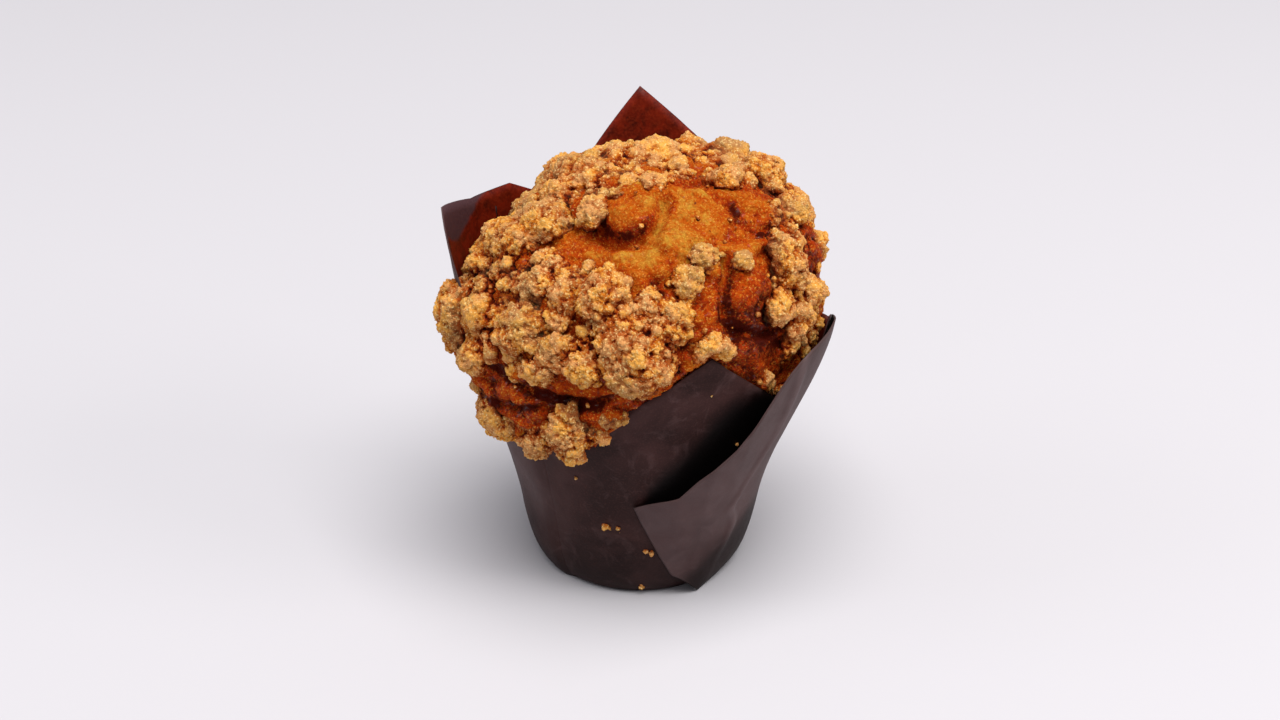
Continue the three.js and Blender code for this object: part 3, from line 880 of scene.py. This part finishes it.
# The topping is made in pieces, by side: first azimuth and how fine the skin is. The grains of
# each piece are gathered before it is made.
SIDES = {
    "crumbs_front_right": (22, 0.33), "crumbs_back_right": (105, 0.54),
    "crumbs_back_left": (190, 0.54), "crumbs_left": (262, 0.35), "crumbs_front": (318, 0.32),
}
grains = {name: [] for name in SIDES}
GOLDEN_ANGLE = 2.39996
FULL_TURN = 6.283
KNOB_AREA = 6.5
KNOB_SMALLEST, KNOB_RANGE = 1.0, 1.3
KNOBS_OVER_CLUMP = 1.5
CLUMP_WRAP, KNOB_WRAP = 1.2, 1.3
LUMP_SMALLEST, LUMP_RANGE = 0.4, 0.3
LUMP_NEAREST = 0.6
FILLING_DEPTH, FILLING_SIZE, FILLING_LEAST = 0.62, 0.38, 0.4
PAPER_MARGIN = 1.1
EDGE_LEAN = 1.2


def side_of(azimuth):
    """The name of the piece of topping that this azimuth belongs to."""
    name = "crumbs_front"
    for candidate, (first, _) in SIDES.items():
        if azimuth % 360 >= first:
            name = candidate
    return name


def keep_in_paper(spot, radius):
    """Moves a grain in where paper stands outside it, or where it would lean far over the edge."""
    azimuth = azimuth_of(spot) % 360
    if SPILL_FIRST < azimuth < SPILL_LAST:
        return spot
    edge = around(EDGE_HEIGHT, azimuth, False)
    lean = EDGE_LEAN * max(0.0, spot.z - 0.5 * radius - edge)
    room = paper_inside(azimuth, min(edge, spot.z)) + lean - radius - PAPER_MARGIN
    share = min(1.0, room / max(1.0, math.hypot(spot.x, spot.y)))
    return Vector((spot.x * share, spot.y * share, spot.z))


def add_grain(part_name, spot, radius):
    grains[part_name].append((keep_in_paper(spot, radius), radius))


def add_knob(part_name, spot, normal, size, seed):
    """A knob of the topping: a core with smaller lumps baked on to it."""
    add_grain(part_name, spot, size)
    side = normal.orthogonal().normalized()
    across = normal.cross(side)
    count = 3 + int(3 * draw(seed, 4))
    for k in range(count):
        height = 1 - KNOB_WRAP * (k + 0.5) / count
        ring = math.sqrt(max(0.0, 1 - height * height))
        angle = GOLDEN_ANGLE * k + FULL_TURN * draw(seed, 5)
        direction = side * math.cos(angle) * ring + across * math.sin(angle) * ring + normal * height
        lump = size * (LUMP_SMALLEST + LUMP_RANGE * draw(seed + k, 6))
        reach = size * (LUMP_NEAREST + LUMP_RANGE * draw(seed + k, 7))
        add_grain(part_name, spot + direction * reach, lump)


def add_clump(azimuth, latitude, across, up, rise, turn, seed):
    """A clump: a filled pebble form with knobs all over its upper side."""
    centre, east, north, normal = seat(azimuth, latitude)
    part_name = side_of(azimuth)
    angle = math.radians(turn)
    sideways = east * math.cos(angle) + north * math.sin(angle)
    lengthways = normal.cross(sideways)
    knobs = max(5, int(math.pi * across * up * KNOBS_OVER_CLUMP / KNOB_AREA))
    for k in range(knobs):
        height = 1 - CLUMP_WRAP * (k + 0.5) / knobs
        ring = math.sqrt(max(0.0, 1 - height * height))
        spin = GOLDEN_ANGLE * k + FULL_TURN * draw(seed, 8)
        x, y, z = ring * math.cos(spin), ring * math.sin(spin), height
        size = KNOB_SMALLEST + KNOB_RANGE * draw(seed * 13 + k, 9)
        size *= min(1.0, 0.5 + rise / 8)
        inset = 1 - 0.9 * size / max(across, up, rise) - 0.15 * draw(seed * 7 + k, 10)
        spot = centre + (sideways * x * across + lengthways * y * up) * inset
        spot += normal * (z * inset + 0.05) * rise
        add_knob(part_name, spot, (spot - centre + normal).normalized(), size, seed * 101 + k * 17)
        filling = spot * FILLING_DEPTH + centre * (1 - FILLING_DEPTH)
        add_grain(part_name, filling, FILLING_SIZE * rise + FILLING_LEAST)


clumps = LARGE_CRUMBS + MIDDLE_CRUMBS + [spread_crumb(i) for i in range(SPREAD_CRUMBS)]
for seed, clump in enumerate(clumps, 1):
    add_clump(*clump, seed)

# Between the clumps lies a mat of small knobs and single grains, thin or missing on the bare
# patches: azimuth, latitude and reach in millimetres of each of those.
BARE_PATCHES = [
    (8, 52, 14), (32, 65, 10), (-8, 63, 10), (-22, 60, 6), (64, 54, 8), (38, 25, 10), (20, 25, 8),
    (38, 4, 9), (-24, 4, 6), (-50, 0, 6), (46, 7, 8), (-44, 51, 6), (40, 50, 9), (0, 42, 7),
    (-37, 1, 6), (60, 40, 6), (84, 16, 8), (72, 12, 6), (-27, 21, 3.5), (8, 30, 6), (-92, 50, 6),
    (56, 62, 6), (14, 12, 4), (-16, 3, 5), (-27, 5, 6), (-49, 6, 5), (-8, 1, 4), (-115, 52, 5),
    (-98, 47, 6),
]
BARE_CENTRES = [(smooth_top(azimuth, latitude), reach) for azimuth, latitude, reach in BARE_PATCHES]
MAT_KNOBS = 2600
MAT_BELOW = 0.14
MAT_LOWEST = -8
MAT_BED, BED_SHOWS, BED_RISE = 2.4, 0.2, 1.2
MAT_SMALLEST, MAT_RANGE, MAT_SCATTER = 0.8, 1.4, 2.6
MAT_RAISED, MAT_RISE = 0.05, 0.6
LOOSE_SHARE, LOOSE_SMALLEST, LOOSE_RANGE = 0.1, 0.35, 0.45
COVERAGE = 0.22
COVER_WAVES = [(0.7, 0.13), (1.5, 0.27)]
BARE_DEPTH = 1.25
CRACK_DEPTH = 1.2


def cover(spot):
    """How thickly the topping lies here: above 0 there are knobs, below it bare crust."""
    level = COVERAGE + sum(height * noise.noise(spot * waves) for height, waves in COVER_WAVES)
    for centre, reach in BARE_CENTRES:
        away = (spot - centre).length / reach
        level -= BARE_DEPTH * math.exp(-(away**3))
    return level - CRACK_DEPTH * cracked(spot)


def add_to_mat(i):
    """A knob of the mat on its bed, or a loose grain now and then where the crust is bare."""
    azimuth = 360 * ((i * GOLDEN_SHARE) % 1)
    share = (i + 0.5) / MAT_KNOBS
    latitude = math.degrees(math.asin((1 + MAT_BELOW) * share - MAT_BELOW))
    if latitude < MAT_LOWEST:
        return
    centre, east, north, normal = seat(azimuth, min(89, latitude))
    level = cover(centre)
    scatter = east * (draw(i, 12) - 0.5) + north * (draw(i, 13) - 0.5)
    spot = centre + scatter * MAT_SCATTER
    part_name = side_of(azimuth)
    if level > 0:
        size = MAT_SMALLEST + MAT_RANGE * draw(i, 11) ** 2 * min(1.0, level + 0.25)
        sunk = MAT_BED - BED_SHOWS - BED_RISE * min(1.0, level)
        add_grain(part_name, centre - normal * sunk, MAT_BED)
        spot += normal * (MAT_RAISED + MAT_RISE * level) * size
        add_knob(part_name, spot, normal, size, 9000 + 31 * i)
    elif draw(i, 14) < LOOSE_SHARE:
        add_grain(part_name, spot + normal * 0.1, LOOSE_SMALLEST + LOOSE_RANGE * draw(i, 15) ** 2)


for i in range(MAT_KNOBS):
    add_to_mat(i)

# Crumbs that fell and stuck to the outside of the paper: azimuth, height and radius.
STUCK_CRUMBS = [
    (-14.6, 21.2, 0.5), (-16, 21.6, 0.7), (-13.4, 20.8, 0.35), (-10, 21.4, 0.4), (-9.4, 20.2, 0.25),
    (5, 14.2, 0.65), (3, 14.6, 0.5), (6.4, 14, 0.4), (0.6, 2.6, 0.6), (2, 2.2, 0.4),
    (-24, 40, 0.28), (-27, 35, 0.25), (-45, 38, 0.25), (25, 59.5, 0.3), (40, 42.5, 0.25),
]
grains["stuck_crumbs"] = []
for azimuth, height, radius in STUCK_CRUMBS:
    outside = paper_inside(azimuth, height) + CASE_WALL + 0.4 * radius
    grains["stuck_crumbs"].append((polar(azimuth, outside, height), radius))

SKIN_THRESHOLD = 0.1
SAG_ROUNDS = 11
# Broad lumps with seams between them, then fine crumbs with sand over them. Waves are in a
# millimetre, and levels say how far the skin is drawn in before they swell it.
BROAD_WAVES, BROAD_HEIGHT, BROAD_LEVEL = 0.3, 1.8, -0.7
SEAM_WAVES, SEAM_WIDTH, SEAM_DEPTH = 0.24, 0.04, -0.35
FINE_WAVES, FINE_HEIGHT, FINE_LEVEL = 0.65, 3.2, -1.35
SAND_WAVES, SAND_DEPTH = 1.3, -0.3
DOME_CENTRE = (0, 0, 0.055)
# How far a point lies below the skin round it, near and wide, for painted shade in the hollows: blur
# rounds and strength.
DEPTHS = [("hollow", 14, 0.9), ("valley", 120, 0.6)]


class Baking(Nodes):
    """The nodes that turn the grains of one piece of topping into its skin."""

    def __init__(self, name):
        super().__init__(bpy.data.node_groups.new(name, "GeometryNodeTree"))
        for way in ("INPUT", "OUTPUT"):
            self.tree.interface.new_socket("Geometry", in_out=way, socket_type="NodeSocketGeometry")
        self.place = self.made("GeometryNodeInputPosition", {})

    def made(self, kind, inputs, **settings):
        """What a new node makes: its first output."""
        return self.node(kind, settings, inputs).outputs[0]

    def skin(self, voxel):
        """The grains as one closed skin that has sagged a little."""
        dough = self.made("NodeGroupInput", {})
        radius = self.made("GeometryNodeInputNamedAttribute", {"Name": "size"}, data_type="FLOAT")
        dots = self.made("GeometryNodeMeshToPoints", {"Mesh": dough, "Radius": radius})
        inputs = {"Points": dots, "Voxel Size": voxel * MM, "Radius": radius}
        volume = self.made("GeometryNodePointsToVolume", inputs, resolution_mode="VOXEL_SIZE")
        inputs = {"Volume": volume, "Threshold": SKIN_THRESHOLD}
        skin = self.made("GeometryNodeVolumeToMesh", inputs)
        inputs = {"Value": self.place, "Iterations": SAG_ROUNDS}
        sagged = self.made("GeometryNodeBlurAttribute", inputs, data_type="FLOAT_VECTOR")
        return self.made("GeometryNodeSetPosition", {"Geometry": skin, "Position": sagged})

    def pushed_out(self, shape, distance):
        """The shape with each point moved so far along its normal."""
        inputs = {0: self.made("GeometryNodeInputNormal", {}), "Scale": distance}
        offset = self.made("ShaderNodeVectorMath", inputs, operation="SCALE")
        return self.made("GeometryNodeSetPosition", {"Geometry": shape, "Offset": offset})

    def broad_lumps(self):
        """Lumps a few millimetres across, with seams between them."""
        lumps = self.grain(BROAD_WAVES, 2.0, 0.6) * (BROAD_HEIGHT * MM) + BROAD_LEVEL * MM
        from_seam = self.grain(SEAM_WAVES, 1.5, 0.5) - 0.5
        from_seam = from_seam.maths("ABSOLUTE", from_seam, 0.0)
        return lumps + (1.0 - from_seam.between(0.0, SEAM_WIDTH)) * (SEAM_DEPTH * MM)

    def fine_crumbs(self):
        """Crumbs a millimetre or two across, with sugary sand over them."""
        crumbs = self.grain(FINE_WAVES, 4.0, 0.72) * (FINE_HEIGHT * MM) + FINE_LEVEL * MM
        return crumbs + self.cells(SAND_WAVES) * (SAND_DEPTH * MM)

    def stored(self, shape, label, value):
        inputs = {"Geometry": shape, "Name": label, "Value": value}
        return self.made("GeometryNodeStoreNamedAttribute", inputs, data_type="FLOAT")

    def with_depths(self, shape):
        """Stores how far each point lies below the skin round it, for painted shade in the colours."""
        settings, inputs = {"operation": "DISTANCE"}, {0: self.place, 1: DOME_CENTRE}
        height = self.value("ShaderNodeVectorMath", settings, inputs, "Value")
        for label, rounds, strength in DEPTHS:
            inputs = {"Value": height, "Iterations": rounds}
            level = self.value("GeometryNodeBlurAttribute", {"data_type": "FLOAT"}, inputs)
            shape = self.stored(shape, label, (level - height) * (strength / MM) + 0.5)
        return shape

    def with_height(self, shape):
        """Stores how far each point stands off the crust, in millimetres."""
        crust_shape = self.node("GeometryNodeObjectInfo", {}, {"Object": crust_piece})
        inputs = {"Geometry": crust_shape.outputs["Geometry"]}
        above = self.value("GeometryNodeProximity", {}, inputs, "Distance")
        return self.stored(shape, "above_crust", above * (1 / MM))


def bake_together(name, points, voxel):
    """Swells the grains into one skin, lets it sag and crumble, and gives it as a mesh object."""
    cloud = bmesh.new()
    size = cloud.verts.layers.float.new("size")
    for spot, radius in points:
        cloud.verts.new(spot * MM)[size] = radius * MM
    raw = as_object(name + "_grains", cloud)
    baking = Baking(name + "_bake")
    shape = baking.pushed_out(baking.skin(voxel), baking.broad_lumps())
    shape = baking.pushed_out(shape, baking.fine_crumbs())
    shape = baking.with_height(baking.with_depths(shape))
    smooth = baking.made("GeometryNodeSetShadeSmooth", {"Geometry": shape})
    baking.node("NodeGroupOutput", {}, {0: smooth})
    modifier = raw.modifiers.new("bake", "NODES")
    modifier.node_group = baking.tree
    view = bpy.context.evaluated_depsgraph_get()
    mesh = bpy.data.meshes.new_from_object(raw.evaluated_get(view))
    bpy.data.objects.remove(raw)
    made = bpy.data.objects.new(name, mesh)
    bpy.context.scene.collection.objects.link(made)
    return made


CREAM, ROSY_CREAM = colour(248, 178, 82), colour(222, 154, 96)
TAN, ROSY_TAN = colour(212, 122, 32), colour(186, 108, 58)
# Toasted colours, the darkest also painted shade deep in the hollows: the level of toasting and shade
# where each starts, where it covers, and the colour.
TOASTED_AND_SHADED = [
    (-0.08, 0.2, colour(176, 74, 12)), (0.2, 0.42, colour(112, 28, 3)), (0.42, 0.75, colour(44, 9, 2)),
]
GREY_SHADE = colour(150, 112, 70)
SUGAR = colour(255, 224, 152)


def crumb_topping(name, baked, crust_shade):
    """Sandy crumbs as brown as baked says, darker with painted shade in the hollows and on the crust,
    where butter browns them too.
    """
    sandy = Finish(name, Specular_IOR_Level=0.08)
    patch = sandy.grain(0.17, detail=4, roughness=0.6)
    fine = sandy.grain(1.3, detail=3, roughness=0.75)
    # Painted shade: hollow and valley darken the crumbs in their hollows, on top of real toasting by
    # patch and grain.
    toast_and_shade = 0.45 * sandy.painted("hollow") + 0.9 * sandy.painted("valley") + baked
    toast_and_shade = toast_and_shade + 1.5 * (patch - 0.5) + 0.65 * (fine - 0.5)
    toast_and_shade = toast_and_shade + 0.3 * (sandy.cell_shade(1.4) - 0.5)
    # Browner where butter from the crust soaks in, with painted shade where the crumbs touch the crust.
    toast_and_shade = toast_and_shade + crust_shade * (1.0 - sandy.painted("above_crust").between(0.1, 1.6))
    rosy = sandy.grain(0.2, detail=3, roughness=0.6).between(0.42, 0.58)
    cream = sandy.mix(rosy * 0.85, CREAM, ROSY_CREAM)
    tan = sandy.mix(rosy * 0.8, TAN, ROSY_TAN)
    base = sandy.mix(toast_and_shade.between(-0.4, -0.08), cream, tan)
    for start, full, brown in TOASTED_AND_SHADED:
        base = sandy.mix(toast_and_shade.between(start, full), base, brown)
    # Painted shade: grey patches scattered by noise.
    greyed = sandy.grain(0.07, detail=2, distortion=0.5).between(0.5, 0.64)
    base = sandy.mix(greyed * 0.4, base, GREY_SHADE)
    sugar = sandy.grain(2.0, detail=1).between(0.58, 0.66) * (1.0 - toast_and_shade.between(-0.1, 0.35))
    sandy.set("Base Color", sandy.mix(sugar * 0.7, base, SUGAR))
    sandy.set("Roughness", 0.74 - 0.4 * sugar)
    sandy.bump(fine + 0.6 * sandy.grain(2.2, detail=2), 0.9)
    return sandy.material


TOPPING_FINISH = crumb_topping("crumb_topping", baked=-0.68, crust_shade=0.45)
STUCK_FINISH = crumb_topping("stuck_crumb", baked=-0.95, crust_shade=0.0)
STUCK_FINENESS = 0.25


def finish_topping(name, points, voxel, finish):
    """Bakes one piece of topping, gives it its finish and fixes it to the muffin."""
    piece = bake_together(name, points, voxel)
    piece.data.materials.clear()
    piece.data.materials.append(finish)
    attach(piece, "root")
    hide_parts("muffin")


for name, (_, voxel) in SIDES.items():
    finish_topping(name, grains[name], voxel, TOPPING_FINISH)
finish_topping("stuck_crumbs", grains["stuck_crumbs"], STUCK_FINENESS, STUCK_FINISH)

# Studio: a pale floor that runs into the background, one large soft light overhead a little to
# the front, weak ones at the right and the left, and the camera a little above the muffin.
# Lengths are in metres here.

FLOOR_SIZE = 6.0
FLOOR_COLOUR = colour(200, 198, 203)
floor_shape = bmesh.new()
bmesh.ops.create_grid(floor_shape, x_segments=1, y_segments=1, size=FLOOR_SIZE)
floor = as_object("floor", floor_shape)
floor_finish = Finish("pale_floor", Roughness=0.9, Specular_IOR_Level=0.1)
floor_finish.set("Base Color", FLOOR_COLOUR)
floor.data.materials.append(floor_finish.material)

WORLD_TINT = (0.82, 0.81, 0.85, 1)
WORLD_STRENGTH = 0.42
world = bpy.data.worlds.new("studio")
world.use_nodes = True
background = world.node_tree.nodes["Background"]
background.inputs["Color"].default_value = WORLD_TINT
background.inputs["Strength"].default_value = WORLD_STRENGTH
bpy.context.scene.world = world

AIM = Vector((0, 0, 0.0504))


def soft_light(name, place, size, watts, tint):
    lamp = bpy.data.lights.new(name, "AREA")
    lamp.shape = "SQUARE"
    lamp.size = size
    lamp.energy = watts
    lamp.color = tint
    made = bpy.data.objects.new(name, lamp)
    made.location = place
    made.rotation_euler = (AIM - Vector(place)).to_track_quat("-Z", "Y").to_euler()
    bpy.context.scene.collection.objects.link(made)


soft_light("overhead", (0.2, -0.5, 2.2), 1.7, 62, (1.0, 0.985, 0.96))
soft_light("right", (1.0, -0.3, 0.6), 0.5, 4.2, (1.0, 0.97, 0.93))
soft_light("left", (-1.0, -0.1, 0.7), 0.5, 1.8, (0.96, 0.98, 1.0))

CAMERA_RISE = math.radians(28)
CAMERA_DISTANCE = 0.480
CAMERA_LENS = 56.66
SENSOR_WIDTH = 36
camera_data = bpy.data.cameras.new("camera")
camera_data.lens = CAMERA_LENS
camera_data.sensor_width = SENSOR_WIDTH
camera = bpy.data.objects.new("camera", camera_data)
camera_back = CAMERA_DISTANCE * math.cos(CAMERA_RISE)
camera_up = CAMERA_DISTANCE * math.sin(CAMERA_RISE)
camera.location = AIM + Vector((0, -camera_back, camera_up))
camera.rotation_euler = (math.pi / 2 - CAMERA_RISE, 0, 0)
bpy.context.scene.collection.objects.link(camera)
bpy.context.scene.camera = camera
bpy.context.scene.view_settings.view_transform = "Standard"
bpy.context.scene.view_settings.look = "None"
